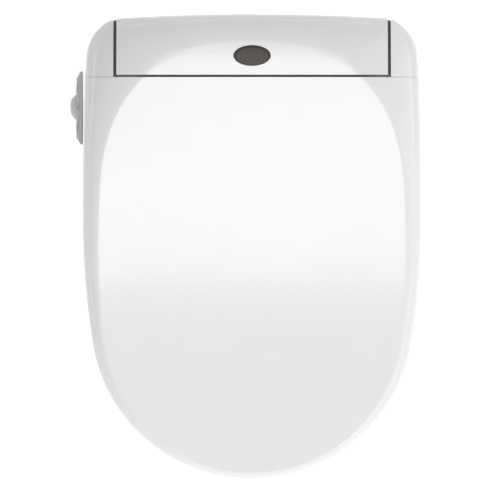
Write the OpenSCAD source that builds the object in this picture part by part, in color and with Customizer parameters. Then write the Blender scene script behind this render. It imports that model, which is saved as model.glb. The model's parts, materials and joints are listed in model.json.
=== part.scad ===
// Electric bidet seat, in millimetres. The origin lies on the plane of the bowl's rim, midway
// between the two bowl bolts. +Y points back to the cistern, +Z points up and the nose is at -Y.

/* [Overall size] */
// Length from the nose to the rear edge
body_l = 520; // [516:1:524]
// Distance from the bowl bolts back to the rear edge
rear_y = 60; // [58:1:62]
// Height of the lid's top at its rear edge
top_z = 121.6; // [119:0.2:124]
// Slope of the lid at its rear edge, in degrees
slope_rear = 4; // [3:0.5:5]
// Slope of the lid at its nose, in degrees
slope_nose = 11; // [10:0.5:12]
// Height of the lid's hem at the nose
hem_front = 36; // [34:1:38]
// Height of the lid's hem at the rear edge
hem_rear = 62; // [60:1:64]
// Thickness of the moulded shells
wall = 3; // [2.5:0.1:3.5]

/* [Rear cover] */
// Width of the fixed rear cover between the lid's ears
cover_w = 303.2; // [300:0.2:306]
// Y of the rear cover's front edge
cover_front_y = -7.8; // [-9:0.1:-7]
// Visible gap between the lid and the rear cover
cover_gap = 2.7; // [2.2:0.1:3]
// Radius of the rear cover's top from front to back
cover_arc_r = 150; // [140:1:170]
// Length of the oval window
window_l = 41.2; // [36:0.2:46]
// Width of the oval window
window_w = 22.6; // [18:0.2:26]
// Y of the oval window's centre
window_y = 13.6; // [12:0.1:16]

/* [Hinge] */
// Y of the common hinge axis of the seat and the lid
hinge_y = 20; // [18:0.5:21]
// Height of the common hinge axis
hinge_z = 80; // [78:0.5:82]
// Radius of the hinge pins
pin_r = 5; // [4:0.5:6]

/* [Seat] */
// Half of the width of the opening
opening_a = 105; // [95:1:110]
// Half of the length of the opening
opening_b = 145; // [135:1:150]
// Y of the middle of the opening
opening_y = -265; // [-270:1:-260]
// Height of the seat's underside
seat_low = 12.5; // [12:0.5:14]

/* [Nozzles] */
// Angle of the wash nozzles below the horizontal
nozzle_pitch = 28; // [26:1:30]
// Radius of a wash nozzle
nozzle_r = 6.5; // [6:0.1:7]

/* [Mounting] */
// Distance between the two bowl bolts
bolt_spacing = 155; // [150:1:160]
// Radius of the bowl bolts' holes
bolt_hole_r = 4.25; // [4:0.05:5]

/* [Side panel] */
// Y of the knob's centre
knob_y = -43.3; // [-46:0.1:-41]
// Radius of the knob's grip
knob_r = 9.3; // [8:0.1:10]

/* [Hidden] */

$fn = 48;
nose_y = rear_y - body_l;
cover_half = cover_w / 2;
seam_y = cover_front_y - cover_gap;
ear_seam = 0.4;
ear_inner_x = 155;
rim_band = 7;
rim_drop = 8;
split_z = 40;
floor_low = 9;
floor_top = 12;
sweep_r = 50.8;
cheek_r = 44;
horn_r = 46.5;
running = 0.05;
clear = 0.3;

// Outline seen from above: tangent arcs from the nose round to the middle of the rear edge.
// OUT_TURN is the heading at the end of each arc, from 0 along +X to 180 along -X.
OUT_TURN = [3.9, 81, 90, 91.6, 94.2, 148.3, 176.7, 180];
OUT_FREE_R = [198, 179.3, 881, 0, 861, 0, 26.9, 2600];
// The radii of the flank and of the rear corner follow from the length and from closing the loop
function span_x(i) = sin(OUT_TURN[i]) - (i == 0 ? 0 : sin(OUT_TURN[i - 1]));
function span_y(i) = (i == 0 ? 1 : cos(OUT_TURN[i - 1])) - cos(OUT_TURN[i]);
function total(list, i = 0) = i >= len(list) ? 0 : list[i] + total(list, i + 1);
rest_x = -total([for (i = [0:7]) OUT_FREE_R[i] * span_x(i)]);
rest_y = body_l - total([for (i = [0:7]) OUT_FREE_R[i] * span_y(i)]);
chain_det = span_x(3) * span_y(5) - span_x(5) * span_y(3);
flank_r = (rest_x * span_y(5) - span_x(5) * rest_y) / chain_det;
corner_r = (span_x(3) * rest_y - rest_x * span_y(3)) / chain_det;
OUT_R = [for (i = [0:7]) i == 3 ? flank_r : i == 5 ? corner_r : OUT_FREE_R[i]];

// Egg-shaped edge of the crown, made the same way
EGG_TURN = [60, 84.6, 93.6, 108.3, 171.5, 180];
EGG_R = [163.6, 195.3, 1058.3, 223.2, 136.8, 331.7];
egg_nose_y = nose_y + 7.2;

function chain_x(r, t, h, i = 0, a = 0) = i >= len(r) || h <= a ? 0 :
    r[i] * (sin(min(h, t[i])) - sin(a)) + chain_x(r, t, h, i + 1, t[i]);
function chain_y(r, t, h, i = 0, a = 0) = i >= len(r) || h <= a ? 0 :
    r[i] * (cos(a) - cos(min(h, t[i]))) + chain_y(r, t, h, i + 1, t[i]);
function out_point(h, inset = 0) =
    [chain_x(OUT_R, OUT_TURN, h) - inset * sin(h), nose_y + chain_y(OUT_R, OUT_TURN, h) + inset * cos(h)];
function egg_point(h, inset = 0) =
    [chain_x(EGG_R, EGG_TURN, h) - inset * sin(h),
        egg_nose_y + chain_y(EGG_R, EGG_TURN, h) + inset * cos(h)];

// Both curves are paired point by point along rays from one centre
ray_y = -190;
function ray_angle(p) = atan2(p[0], ray_y - p[1]);
function out_heading(a, lo = 0, hi = 180, n = 26) = n == 0 ? (lo + hi) / 2 :
    ray_angle(out_point((lo + hi) / 2)) < a ? out_heading(a, (lo + hi) / 2, hi, n - 1)
        : out_heading(a, lo, (lo + hi) / 2, n - 1);
function egg_heading(a, lo = 0, hi = 180, n = 26) = n == 0 ? (lo + hi) / 2 :
    ray_angle(egg_point((lo + hi) / 2)) < a ? egg_heading(a, (lo + hi) / 2, hi, n - 1)
        : egg_heading(a, lo, (lo + hi) / 2, n - 1);
RAYS = concat([for (a = [0:5.5:126.5]) a], [for (h = [95:9:176]) ray_angle(out_point(h))],
    [for (i = [1:5]) 150 + i * 6]);
OUT_H = [for (a = RAYS) a == 0 ? 0 : a == 180 ? 180 : out_heading(a)];
EGG_H = [for (a = RAYS) a == 0 ? 0 : a == 180 ? 180 : egg_heading(a)];
last = len(RAYS) - 1;
around = 2 * last;

// Crown: a slightly domed slope on the lid, which rolls over on the rear cover
lid_arc_r = (seam_y - nose_y) / (sin(slope_nose) - sin(slope_rear));
function crown_z(y) = y < seam_y
    ? let (a = asin(sin(slope_rear) + (seam_y - y) / lid_arc_r))
        top_z - lid_arc_r * (cos(slope_rear) - cos(a))
    : let (a = asin(sin(slope_rear) - (y - seam_y) / cover_arc_r))
        top_z + cover_arc_r * (cos(a) - cos(slope_rear));
function hem_z(y) = hem_front + (hem_rear - hem_front) * (y - nose_y) / body_l;

// One station of the dome from the crown's edge over the shoulder and the rim band to the hem
function mix(a, b, t) = a + (b - a) * t;
function dome_column(j, inset, low) =
    let (e = egg_point(EGG_H[j], inset), b = out_point(OUT_H[j], rim_band + inset),
        o = out_point(OUT_H[j], inset), w = norm(b - e), z0 = crown_z(e[1]) - inset,
        drop = 0.45 * w, z1 = z0 - drop)
    concat([[e[0], e[1], z0]],
        [for (a = [32, 49, 65]) let (h = (sin(a) - sin(15)) / (sin(65) - sin(15)),
            v = (cos(15) - cos(a)) / (cos(15) - cos(65)), p = mix(e, b, h)) [p[0], p[1], z0 - drop * v]],
        [for (a = [45, 68, 90]) let (h = (sin(a) - 0.5) / 0.5, v = (cos(30) - cos(a)) / cos(30),
            p = mix(b, o, h)) [p[0], p[1], z1 - rim_drop * v]],
        [[o[0], o[1], low == undef ? hem_z(o[1]) - (inset > 0 ? 5 : 0) : low]]);
function mirrored(column) = [for (p = column) [-p[0], p[1], p[2]]];
function all_round(half) = concat(half, [for (j = [last - 1:-1:1]) mirrored(half[j])]);

// Closed solid from columns of points: sides between the columns, and flat strips over the ends
module column_solid(columns) {
    rows = len(columns[0]);
    function at(j, k) = (j % around) * rows + k;
    function strip(j, k) = let (m = around - j)
        j == 0 ? [at(m - 1, k), at(1, k), at(0, k)]
        : j == last - 1 ? [at(m, k), at(last, k), at(j, k)]
        : [at(m, k), at(m - 1, k), at(j + 1, k), at(j, k)];
    function flip(face) = [for (i = [len(face) - 1:-1:0]) face[i]];
    polyhedron([for (c = columns) each c], concat(
        [for (j = [0:around - 1], k = [0:rows - 2]) [at(j, k), at(j + 1, k), at(j + 1, k + 1)]],
        [for (j = [0:around - 1], k = [0:rows - 2]) [at(j, k), at(j + 1, k + 1), at(j, k + 1)]],
        [for (j = [0:last - 1]) strip(j, 0)], [for (j = [0:last - 1]) flip(strip(j, rows - 1))]));
}

module dome(inset = 0, low = undef) {
    column_solid(all_round([for (j = [0:last]) dome_column(j, inset, low)]));
}

// Outline as an upright prism
module prism(inset, low, high) {
    half = [for (j = [0:last]) out_point(OUT_H[j], inset)];
    translate([0, 0, low]) linear_extrude(high - low)
        polygon(concat(half, [for (j = [last - 1:-1:1]) [-half[j][0], half[j][1]]]));
}

module block(from, to) { translate(from) cube(to - from); }

module both_sides() {
    children();
    mirror([1, 0, 0]) children();
}

module x_rod(r, x0, x1, y, z) { translate([x0, y, z]) rotate([0, 90, 0]) cylinder(r = r, h = x1 - x0); }

module y_rod(r, y0, y1, x, z) { translate([x, y1, z]) rotate([90, 0, 0]) cylinder(r = r, h = y1 - y0); }

// ---- Lid ----

module lid_shell() {
    color("white") difference() {
        dome();
        dome(wall);
        block([-200, seam_y, 0], [200, rear_y + 10, 200]);
        x_rod(sweep_r, -ear_inner_x, ear_inner_x, hinge_y, hinge_z);
    }
}

// Right ear: it carries the lid's boss and tucks a tongue under the lid's skin
module lid_ear() {
    ear_wall = 2 * wall + 0.2;
    difference() {
        lid_ear_body(ear_wall);
        x_rod(pin_r + running + 1.5, 165, 181, hinge_y, hinge_z);
        x_rod(13, 150, ear_boss_x - 0.5, hinge_y, hinge_z);
        block([ear_inner_x + 3, -50, 0], [ear_boss_x - 0.5, 80, hinge_z - 7.8]);
    }
}

ear_boss_x = 171;
tongue_low = 64;

module lid_ear_body(ear_wall) {
    difference() {
        union() {
            intersection() {
                dome();
                block([ear_inner_x, seam_y + ear_seam, 0], [200, rear_y + 1, 200]);
            }
            intersection() {
                dome(wall + 0.2);
                block([ear_inner_x + wall, seam_y - 25, tongue_low], [200, seam_y + ear_seam + 1, 200]);
            }
        }
        difference() {
            dome(ear_wall);
            block([ear_inner_x - 1, seam_y + ear_seam, 0], [ear_inner_x + 2, rear_y + 1, 200]);
            x_rod(pin_r + 6, ear_boss_x, 200, hinge_y, hinge_z);
        }
    }
    intersection() {
        x_rod(cheek_r, ear_boss_x, 200, hinge_y, hinge_z);
        difference() {
            prism(0, 20, hinge_z - 5);
            prism(ear_wall, 10, 200);
        }
        block([ear_boss_x, seam_y + ear_seam, 0], [200, rear_y, 200]);
    }
}

module lid_ear_left() { color("white") mirror([1, 0, 0]) lid_ear(); }
module lid_ear_right() { color("white") lid_ear(); }

// Soft pads between the lid's hem and the seat
module lid_bumpers() {
    color("gainsboro") both_sides() for (h = [30, 84]) {
        p = out_point(h, wall + 0.9);
        translate([p[0], p[1], hem_z(p[1]) - 0.9]) rotate([0, 0, h - 90])
            block([-5, -7, 0], [0, 7, 6]);
    }
}

module lid_bushes() {
    color("lightgrey") both_sides() difference() {
        x_rod(pin_r + running + 1.45, ear_boss_x, 180.8, hinge_y, hinge_z);
        x_rod(pin_r + running, ear_boss_x - 1, 182, hinge_y, hinge_z);
    }
}

// ---- Seat ----

function opening_point(j, grow = 0) =
    [(opening_a + grow) * sin(RAYS[j]), opening_y - (opening_b + grow) * cos(RAYS[j])];
function seat_z(y) = hem_z(y) - 2;

// Closed ring from columns of points, each a closed section
module ring_solid(half) {
    columns = all_round(half);
    rows = len(half[0]);
    function at(j, k) = (j % around) * rows + k % rows;
    polyhedron([for (c = columns) each c], concat(
        [for (j = [0:around - 1], k = [0:rows - 1]) [at(j, k + 1), at(j + 1, k + 1), at(j + 1, k)]],
        [for (j = [0:around - 1], k = [0:rows - 1]) [at(j, k + 1), at(j + 1, k), at(j, k)]]));
}

// Ring between the outline and the opening, crowned on top
module seat_ring(inset, low, lower) {
    ring_solid([for (j = [0:last])
        let (o = out_point(OUT_H[j], 2 + inset), i = opening_point(j, inset), w = norm(o - i),
            a = mix(o, i, 5 / w), c = mix(o, i, 22 / w), d = mix(o, i, 1 - 16 / w), e = mix(o, i, 1 - 4 / w))
        [[o[0], o[1], low], [o[0], o[1], seat_z(o[1]) - lower - 3], [a[0], a[1], seat_z(a[1]) - lower],
            [c[0], c[1], seat_z(c[1]) - lower + 3], [d[0], d[1], seat_z(d[1]) - lower - 3],
            [e[0], e[1], seat_z(e[1]) - lower - 9], [i[0], i[1], seat_z(i[1]) - lower - 15],
            [i[0], i[1], low]]]);
}

seat_arm_x0 = 158.5;
seat_arm_x1 = 168.5;
horn_end_y = -20;
bridge_y = -97;
notch_y = bridge_y - 60;
notch_top = 31;

// Space behind the bridge and between the horns, which the seat leaves free
module behind_seat(grow) {
    block([-154.5 - grow, bridge_y - grow, -1], [154.5 + grow, 100, 200]);
    block([-200, horn_end_y - grow, -1], [200, 100, 200]);
    x_rod(horn_r + grow, -200, 200, hinge_y, hinge_z);
}

module seat_top_shell() {
    color("whitesmoke") difference() {
        seat_ring(0, seat_low, 0);
        behind_seat(0);
        difference() {
            seat_ring(wall, seat_low - 5, wall);
            behind_seat(wall);
        }
        block([-100, notch_y, 0], [100, bridge_y + 1, notch_top]);
        both_sides() block([seat_arm_x0 - 0.2, horn_end_y - 20, 33], [seat_arm_x1 + 0.2, 0, 54.2]);
    }
}

module seat_bottom_shell() {
    color("gainsboro") difference() {
        union() {
            difference() {
                intersection() {
                    seat_ring(wall + 0.2, seat_low + 0.5, wall);
                    block([-200, nose_y, seat_low], [200, 0, seat_low + 4]);
                }
                behind_seat(wall + 0.2);
                block([-100.5, notch_y, 0], [100.5, 0, 60]);
            }
            both_sides() seat_arm();
        }
        both_sides() x_rod(pin_r + running + 1.5, 150, 175, hinge_y, hinge_z);
    }
}

// Arm that rises from the seat's underside inside the horn and runs back to the hinge
module seat_arm() {
    translate([seat_arm_x0, 0, 0]) rotate([90, 0, 90]) linear_extrude(seat_arm_x1 - seat_arm_x0)
        polygon([[-60, seat_low + 2], [-48, seat_low + 2], [-34, 42], [hinge_y - 4, hinge_z - 9],
            [hinge_y - 4, hinge_z + 9], [-18.5, 53.5], [-60, 50]]);
    x_rod(11, seat_arm_x0, seat_arm_x1, hinge_y, hinge_z);
}

// Heater foil under the seat's skin, from the rear of the opening round to the nose
module seat_heater_foil() {
    under = wall + 1.4;
    color("orange") difference() {
        ring_solid([for (j = [0:last])
            let (o = out_point(OUT_H[j], 2), i = opening_point(j), w = norm(o - i),
                c = mix(o, i, 24 / w), d = mix(o, i, 1 - 18 / w))
            [[c[0], c[1], seat_z(c[1]) - under + 2], [c[0], c[1], seat_z(c[1]) - under + 3],
                [d[0], d[1], seat_z(d[1]) - under - 3], [d[0], d[1], seat_z(d[1]) - under - 4]]]);
        block([-300, -150, 0], [300, 200, 200]);
    }
}

module seat_thermostat() {
    color("dimgrey") both_sides() translate([0, 0, seat_low + 5]) {
        translate([140, -300, 0]) cylinder(r = 6, h = 7);
        translate([140, -300, 7]) cylinder(r = 4, h = 2);
    }
}

module occupancy_sensor() {
    color("darkgreen") block([-24, -112, 34], [24, -104, 36]);
}

module seat_bumpers() {
    color("dimgrey") both_sides() for (p = [[150, -150], [78, -424]]) {
        translate([p[0], p[1], 0]) cylinder(r1 = 8, r2 = 9, h = 2);
        translate([p[0], p[1], 2]) cylinder(r = 9, h = seat_low - 1.6);
    }
}

module seat_bushes() {
    color("lightgrey") both_sides() difference() {
        x_rod(pin_r + running + 1.45, seat_arm_x0, seat_arm_x1, hinge_y, hinge_z);
        x_rod(pin_r + running, 150, 175, hinge_y, hinge_z);
    }
}

// ---- Housing ----

shoulder_x = 184;
shoulder_top = 33;
inlet_x = 110;
service_z = 26;
plate_w = 200;
plate_front_y = -38;
plate_rear_y = 37;
plate_t = 8;
dryer_x = -75;
dryer_y = -16;
flap_w = 40;
flap_top = 28;
flap_h = 13;
filter_y0 = -12;
filter_w = 34;
filter_z0 = 13.5;
filter_h = 16;
filter_y1 = filter_y0 + filter_w;
filter_z1 = filter_z0 + filter_h;
release_y = 12;
release_z = 17;

module base_tray() {
    color("white") difference() {
        union() {
            intersection() {
                prism(0, floor_low, split_z - 0.2);
                block([-cover_half, bridge_y + 2, 0], [cover_half, rear_y + 5, 100]);
            }
            base_shoulders();
            panel_wing();
            plate_rails();
        }
        intersection() {
            prism(wall, floor_top, 60);
            block([wall - cover_half, bridge_y + 2 + wall, 0], [cover_half - wall, rear_y, 100]);
        }
        block([-plate_w / 2 - 0.6, plate_front_y - 1, -1],
            [plate_w / 2 + 0.6, rear_y + 10, floor_low - 0.2]);
        block([inlet_x - 18, 42, -1], [inlet_x + 18, rear_y + 5, split_z + 1]);
        y_rod(6.1, 50, 70, -inlet_x, service_z);
        block([-25, bridge_y, floor_top + 1], [25, bridge_y + 8, 34]);
        block([dryer_x - flap_w / 2 - 0.5, bridge_y, flap_top - flap_h - 0.5],
            [dryer_x + flap_w / 2 + 0.5, bridge_y + 8, flap_top + 0.5]);
        block([cover_half - 8, filter_y0 - 0.3, filter_z0 - 0.3],
            [shoulder_x + 5, filter_y1 + 0.3, filter_z1 + 0.3]);
        x_rod(7.3, -190, -160, release_y, release_z);
        screw_places() translate([0, 0, floor_low - 1]) cylinder(r = screw_head_r + 0.2, h = 3.2);
        screw_places() cylinder(r = screw_r + 0.1, h = 30);
    }
    color("white") difference() {
        union() {
            block([inlet_x - 21, 38.8, floor_low], [inlet_x + 21, 41.6, split_z - 0.2]);
            both_pocket_walls();
        }
        y_rod(10.2, 30, 50, inlet_x, service_z);
    }
    color("white") screw_places() post(floor_top - 1, split_z - 0.2);
    color("white") plate_lips();
}

module both_pocket_walls() {
    for (x = [inlet_x - 21, inlet_x + 18]) block([x, 41, floor_low], [x + 3, 57, split_z - 0.2]);
}

// Four screws come up through posts in the tray into posts in the rear cover
screw_r = 1.5;
screw_head_r = 2.8;
screw_x = 139.5;
post_r = 3.5;

module screw_places() {
    both_sides() for (y = [1, 46]) translate([screw_x, y, 0]) children();
}

module post(low, high) {
    difference() {
        translate([0, 0, low]) cylinder(r = post_r, h = high - low);
        translate([0, 0, low - 1]) cylinder(r = screw_r + 0.1, h = high - low + 2);
    }
}

// Low shoulders beside the housing, under the lid's ears
module base_shoulders() {
    both_sides() difference() {
        intersection() {
            prism(2.5, floor_low, shoulder_top);
            block([cover_half - 1, -18, 0], [shoulder_x, 57, 100]);
        }
        intersection() {
            prism(2 * wall, floor_low - 1, shoulder_top - wall);
            block([cover_half + wall, 24, 0], [shoulder_x - wall, 54, 100]);
        }
    }
}

// Flat arm that carries the side panel, below the seat
module panel_wing() { block([pod_inner_x + 2.1, -78, floor_low], [3 - cover_half, -17, floor_top]); }

// The plate's recess has a lip along each side, which the plate slides behind
module plate_rails() {
    both_sides() block([plate_w / 2 + 0.6, plate_front_y - 4, 0.5],
        [plate_w / 2 + 5, rear_y - 4, floor_low + 1]);
    block([-plate_w / 2 - 5, plate_front_y - 5, 0.5], [plate_w / 2 + 5, plate_front_y - 1, floor_low + 1]);
}

module plate_lips() {
    both_sides() block([plate_w / 2 - 5, plate_front_y + 1, 0.5], [plate_w / 2 + 1.5, rear_y - 4, 2.5]);
}

module cover_body(inset) {
    intersection() {
        dome(inset, split_z - (inset > 0 ? 5 : 0));
        block([inset - cover_half, cover_front_y + inset, 0], [cover_half - inset, rear_y + 5, 200]);
    }
}

module window_outline(grow) {
    polygon([for (a = [0:10:350]) [(window_l / 2 + grow) * cos(a), (window_w / 2 + grow) * sin(a)]]);
}

window_tilt = asin(sin(slope_rear) - (window_y - seam_y) / cover_arc_r);

module at_window() { translate([0, window_y, crown_z(window_y)]) rotate([window_tilt, 0, 0]) children(); }

module rear_cover() {
    color("white") difference() {
        cover_body(0);
        cover_body(wall);
        at_window() translate([0, 0, -10]) linear_extrude(20) window_outline(0.15);
        both_sides() x_rod(pin_r + running, cover_half - 10, cover_half + 5, hinge_y, hinge_z);
        service_way();
    }
    color("white") intersection() {
        dome(wall / 2, 0);
        screw_places() post(split_z, top_z);
    }
    color("white") both_sides() difference() {
        x_rod(9, cover_half - 12, cover_half - wall, hinge_y, hinge_z);
        x_rod(pin_r + running, cover_half - 15, cover_half + 5, hinge_y, hinge_z);
    }
}

// Way between the deck and the rear cover for what stands in both
module service_way() {
    block([12 - cover_half, cover_front_y - 5, 0], [cover_half - 12, cover_front_y + 5, service_top]);
}

service_top = 92;
deck_rear_y = cover_front_y - 0.3;
deck_front_y = bridge_y + 2;
deck_low = 60;
deck_high = 112;

function deck_line(inset) = [for (a = [0:7.5:90])
    [mix(deck_front_y + inset, deck_rear_y - inset, 1 - cos(a)), mix(deck_low, deck_high - inset, sin(a))]];

module deck_profile(inset, low) {
    polygon(concat([[deck_front_y + inset, low]], deck_line(inset), [[deck_rear_y - inset, low]]));
}

module front_deck() {
    color("whitesmoke") difference() {
        translate([-cover_half, 0, 0]) rotate([90, 0, 90]) linear_extrude(cover_w) deck_profile(0, split_z);
        translate([wall - cover_half, 0, 0]) rotate([90, 0, 90]) linear_extrude(cover_w - 2 * wall)
            deck_profile(wall, split_z - 5);
        service_way();
    }
}

module ir_window() {
    color("dimgrey") at_window() translate([0, 0, -2.2]) linear_extrude(2.5) window_outline(0);
}

module indicator_board() {
    color("darkgreen") at_window() translate([0, 0, -8]) block([-22, -11, 0], [22, 11, 1.6]);
    color("darkred") at_window() for (x = [-12, -4, 4, 12]) translate([x, 0, -6.4]) cylinder(r = 1.5, h = 3);
    color("white") at_window() for (x = [-19, 19]) translate([x, 0, -6.4]) cylinder(r = 1.2, h = 3.3);
}

module base_pads() {
    color("dimgrey") for (x = [-130, 0, 130]) translate([x, -70, 0]) cylinder(r = 9, h = floor_low);
    color("dimgrey") for (x = [-130, 130]) translate([x, 22, 0]) cylinder(r = 9, h = floor_low);
}

module housing_screws() {
    color("silver") screw_places() translate([0, 0, floor_low]) {
        cylinder(r = screw_head_r, h = 2);
        cylinder(r = screw_r, h = 45);
    }
}

// ---- Hinge ----

module hinge_pins() {
    color("silver") both_sides() {
        x_rod(pin_r, cover_half - 14, 180.5, hinge_y, hinge_z);
        x_rod(2, cover_half - 16, cover_half - 13, hinge_y, hinge_z);
    }
}

// Rotary damper around the inner end of a hinge pin
module damper() {
    difference() {
        union() {
            x_rod(11, cover_half - 48, cover_half - 18, hinge_y, hinge_z);
            block([cover_half - 46, hinge_y - 8, hinge_z - 18], [cover_half - 40, hinge_y + 8, hinge_z - 9]);
        }
        x_rod(2.1, cover_half - 30, cover_half - 10, hinge_y, hinge_z);
    }
    x_rod(2, cover_half - 29, cover_half - 16, hinge_y, hinge_z);
}

module seat_damper() { color("darkslategray") mirror([1, 0, 0]) damper(); }
module lid_damper() { color("darkslategray") damper(); }

// ---- Water ----

module inlet_fitting() {
    color("silver") difference() {
        union() {
            y_rod(10.4, 41.8, 57, inlet_x, service_z);
            y_rod(13, 35.8, 38.7, inlet_x, service_z);
            y_rod(10, 38.7, 41.8, inlet_x, service_z);
            y_rod(8, 20, 36, inlet_x, service_z);
        }
        y_rod(6, 15, 60, inlet_x, service_z);
    }
}

module inlet_strainer() {
    color("gold") difference() {
        y_rod(5.9, 40, 54, inlet_x, service_z);
        y_rod(4.8, 42, 56, inlet_x, service_z);
        for (a = [0:45:315], y = [44.5:3:50.5]) translate([inlet_x, y, service_z])
            rotate([0, a, 0]) cylinder(r = 0.8, h = 10);
    }
}

module solenoid_valve() {
    color("ivory") {
        block([inlet_x - 10, -2, service_z - 8], [inlet_x + 10, 19.8, service_z + 8]);
        translate([inlet_x, 9, service_z + 8]) cylinder(r = 9, h = 20);
    }
    color("black") translate([inlet_x, 9, service_z + 28]) cylinder(r = 4, h = 5);
}

module water_heater() {
    color("ivory") difference() {
        block([38, -26, floor_top + 0.2], [86, 34, 58]);
        block([36, -18, 52], [88, 26, 60]);
    }
    color("silver") for (x = [48, 62, 76]) y_rod(4, -22, 30, x, 55.9);
}

module water_pump() {
    color("dimgrey") y_rod(13, -62, -32, 118, 27);
    color("ivory") block([104, -32, 14], [132, -14, 40]);
}

// Valve that sends the water to one nozzle or the other, on its own leg
module diverter_valve() {
    color("ivory") {
        block([26, -32, 66], [44, -16, 82]);
        block([30, -27, floor_top + 0.2], [34, -21, 66]);
        x_rod(3, 20, 26, -28, 72);
        x_rod(3, 20, 26, -20, 72);
    }
    color("silver") translate([35, -24, 82]) cylinder(r = 7, h = 6);
}

// Tube swept along a list of points in a plane of constant Y
function unit(v) = v / norm(v);
module hose(route, r, sides = 8) {
    n = len(route);
    rings = [for (i = [0:n - 1]) let (t = unit(route[min(i + 1, n - 1)] - route[max(i - 1, 0)]),
        u = unit(cross(t, [0, 1, 0])), v = cross(t, u))
        [for (k = [0:sides - 1]) route[i] + r * (u * cos(k * 360 / sides) + v * sin(k * 360 / sides))]];
    polyhedron([for (q = rings) each q], concat(
        [for (i = [0:n - 2], k = [0:sides - 1]) let (l = (k + 1) % sides)
            [(i + 1) * sides + k, (i + 1) * sides + l, i * sides + l, i * sides + k]],
        [[for (k = [0:sides - 1]) k]], [[for (k = [sides - 1:-1:0]) (n - 1) * sides + k]]));
}

function bend(points, steps) = concat([for (i = [0:len(points) - 2], s = [0:steps - 1])
    let (a = points[max(i - 1, 0)], b = points[i], c = points[i + 1],
        d = points[min(i + 2, len(points) - 1)], t = s / steps)
    0.5 * (2 * b + t * (c - a) + t * t * (2 * a - 5 * b + 4 * c - d) + t * t * t * (3 * b - 3 * c + d - a))],
    [points[len(points) - 1]]);

// Heater to pump, and pump to diverter
HEATER_TO_PUMP = [[86.2, -20, 22], [92, -20, 22], [98, -20, 25], [103.8, -20, 25]];
PUMP_TO_DIVERTER = [[118, -24, 40.2], [117, -24, 50], [108, -24, 62], [92, -24, 70], [70, -24, 74],
    [44.2, -24, 74]];

module water_hoses() {
    color("lightblue") {
        x_rod(4, 86.2, 99.8, 4, service_z);
        hose(bend(HEATER_TO_PUMP, 2), 4);
        hose(bend(PUMP_TO_DIVERTER, 5), 3.5);
    }
}

// ---- Nozzles ----

// Frame of a nozzle: its own +X points back along the nozzle from its tip, its Z points up from it
nozzle_tip_y = -89;
nozzle_tip_z = 24;
nozzle_l = 146;
nozzle_x = 11.5;
pinion_teeth = 12;
pinion_pitch_r = pinion_teeth / 2;
pinion_s = 46;
rack_pitch_y = 9.5;

module on_nozzle(side) {
    translate([side * nozzle_x, nozzle_tip_y, nozzle_tip_z]) rotate([nozzle_pitch, 0, 0])
        mirror([side < 0 ? 1 : 0, 0, 0]) rotate([0, 0, 90]) children();
}

module nozzle() {
    difference() {
        rotate([0, 90, 0]) cylinder(r = nozzle_r, h = nozzle_l);
        translate([-1, 0, 0]) rotate([0, 90, 0]) cylinder(r = 3.2, h = 20);
    }
    rack();
}

// Straight rack along the outer side, of module 1, with thinned teeth for backlash
module rack() {
    translate([0, 0, -2.5]) linear_extrude(5) {
        translate([pinion_s - 6, -rack_pitch_y + 1.3]) square([nozzle_l - pinion_s + 5.5, 4]);
        for (i = [-1:31]) translate([pinion_s + i * PI, -rack_pitch_y])
            polygon([[-1.05, 1.4], [1.05, 1.4], [0.28, -0.95], [-0.28, -0.95]]);
    }
}

function involute(r, base) = let (a = acos(min(1, base / r))) tan(a) * 180 / PI - a;

// Spur pinion of module 1 with one gap facing +Y of its own frame
module pinion_2d() {
    base = pinion_pitch_r * cos(20);
    half = 90 / pinion_teeth - 1.4;
    polygon([for (i = [0:pinion_teeth - 1]) let (mid = 90 + (i + 0.5) * 360 / pinion_teeth)
        each [for (q = [[4.7, -1], [5.7, -1], [6.2, -1], [6.8, -1], [6.8, 1], [6.2, 1], [5.7, 1], [4.7, 1]])
            let (a = mid + q[1] * (half + involute(pinion_pitch_r, base) - involute(max(q[0], base), base)))
            q[0] * [cos(a), sin(a)]]]);
}

module pinion() {
    translate([pinion_s, -rack_pitch_y - pinion_pitch_r, 0]) {
        translate([0, 0, -2]) linear_extrude(4) pinion_2d();
        translate([0, 0, -3]) cylinder(r = 1.45, h = 12);
    }
}

module stepper() {
    translate([pinion_s, -rack_pitch_y - pinion_pitch_r, 0]) {
        difference() {
            translate([0, 0, 4]) cylinder(r = 10, h = 15);
            translate([0, 0, 3]) cylinder(r = 1.8, h = 7);
        }
        difference() {
            for (a = [0, 180]) rotate([0, 0, a]) block([8, -3.5, 4], [16, 3.5, 5.2]);
            for (a = [0, 180]) rotate([0, 0, a]) translate([13, 0, 3]) cylinder(r = 1.6, h = 3);
        }
    }
}

// Guide block with one bore for each nozzle, on two legs
module nozzle_cradle() {
    color("ivory") {
        difference() {
            translate([0, nozzle_tip_y, nozzle_tip_z]) rotate([nozzle_pitch, 0, 0]) {
                block([-21, 8, -9.5], [21, 30, 10]);
                block([-9, 30, -9.5], [9, 118, -7.2]);
            }
            for (side = [-1, 1]) on_nozzle(side) {
                rotate([0, 90, 0]) cylinder(r = nozzle_r + clear, h = 100);
                block([0, -30, -3.2], [100, 0, 3.2]);
            }
            block([-50, -100, 0], [50, 0, floor_top + 0.2]);
        }
        block([-8, -4, floor_top + 0.2], [8, 2, 61]);
    }
}

module rear_nozzle() { color("ivory") on_nozzle(-1) nozzle(); }
module front_nozzle() { color("ivory") on_nozzle(1) nozzle(); }

// Removable tip, with its spray holes facing up
module nozzle_tip(holes) {
    difference() {
        translate([-3, 0, 0]) rotate([0, 90, 0]) {
            cylinder(r = nozzle_r, h = 2.9);
            cylinder(r = 3.1, h = 18);
        }
        for (x = holes) translate([x, 0, 1]) cylinder(r = 0.6, h = 10);
    }
}

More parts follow.
